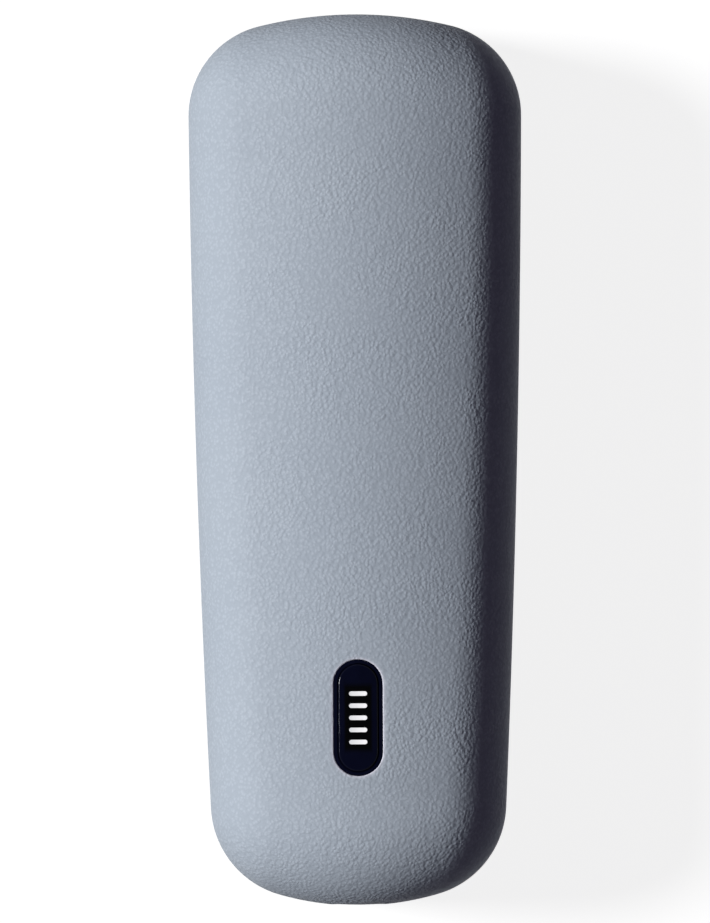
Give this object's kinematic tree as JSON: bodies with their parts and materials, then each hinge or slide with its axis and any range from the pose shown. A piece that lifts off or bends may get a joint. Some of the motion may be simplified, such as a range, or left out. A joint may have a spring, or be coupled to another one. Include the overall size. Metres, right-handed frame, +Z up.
{
  "type": "shaver charging case",
  "caption": "Leather-covered hinged travel case that holds and charges an electric shaver, with a sprung status button, sprung charging contacts and a power inlet.",
  "frame": {"origin": "centre of the rectangle that the case covers on the table, at the underside of its feet", "axes": "+X across the case to the opening side, +Y along the case to its broad end, +Z up through the lid; the hinge is on the -X side"},
  "size_m": [0.074, 0.198, 0.0566],
  "materials": {
    "leather_cover": "fine pebbled blue-grey leatherette, satin",
    "shell_plastic": "moulded dark plastic",
    "rim_plastic": "fine-textured black plastic",
    "pocket_lining": "flocked dark lining",
    "screw_steel": "plated steel",
    "magnet_nickel": "nickel-plated",
    "keeper_steel": "zinc-plated steel",
    "soft_rubber": "matte silicone",
    "window_gloss": "high-gloss near-black",
    "light_guide_white": "milky white",
    "component_black": "moulded component body",
    "board_green": "solder-masked board",
    "foam_pad": "adhesive foam",
    "cell_foil": "pouch foil",
    "plug_ivory": "moulded plug",
    "lead_red": "insulated lead",
    "contact_brass": "gold-plated brass"
  },
  "bodies": {
    "base": {"base_skin": "leather_cover", "base_shell": "shell_plastic", "base_rim": "rim_plastic", "base_liner": "pocket_lining", "base_screws": "screw_steel", "closing_magnets": "magnet_nickel", "closing_bumpers": "soft_rubber", "feet": "soft_rubber", "hinge_pin": "screw_steel"},
    "lid": {"lid_skin": "leather_cover", "lid_shell": "shell_plastic", "lid_rim": "rim_plastic", "lid_liner": "pocket_lining", "lid_screws": "screw_steel", "magnet_keepers": "keeper_steel", "indicator_bezel": "window_gloss", "switch_body": "component_black", "button_return_pad": "soft_rubber", "control_board": "board_green", "status_leds": "light_guide_white", "charge_chips": "component_black", "board_screws": "screw_steel", "battery_pad": "foam_pad", "battery_cell": "cell_foil", "battery_plug": "plug_ivory", "battery_leads": "lead_red", "contact_block": "component_black", "contact_barrels": "contact_brass", "contact_spring_left": "screw_steel", "contact_spring_right": "screw_steel", "power_inlet": "rim_plastic", "inlet_pins": "contact_brass", "inlet_leads": "lead_red"},
    "button": {"indicator_button": "window_gloss", "light_guide": "light_guide_white", "switch_plunger": "component_black"},
    "left_contact": {"contact_pin_left": "contact_brass"},
    "right_contact": {"contact_pin_right": "contact_brass"}
  },
  "joints": [
    {"name": "lid_hinge", "type": "hinge", "parent": "base", "child": "lid", "pos_m": [-0.03317, 0.00007, 0.0286], "axis": [0.027, -0.9996, 0], "range_deg": [0, 100]},
    {"name": "button_press", "type": "slide", "parent": "lid", "child": "button", "axis": [0, 0, -1], "range_m": [0, 0.00045], "stiffness_N_per_m": 400, "springref_m": -0.0005, "deforming": ["button_return_pad"]},
    {"name": "left_contact_press", "type": "slide", "parent": "lid", "child": "left_contact", "axis": [0, 0, 1], "range_m": [0, 0.0012], "stiffness_N_per_m": 300, "springref_m": -0.001, "deforming": ["contact_spring_left"]},
    {"name": "right_contact_press", "type": "slide", "parent": "lid", "child": "right_contact", "axis": [0, 0, 1], "range_m": [0, 0.0012], "stiffness_N_per_m": 300, "springref_m": -0.001, "deforming": ["contact_spring_right"]}
  ]
}
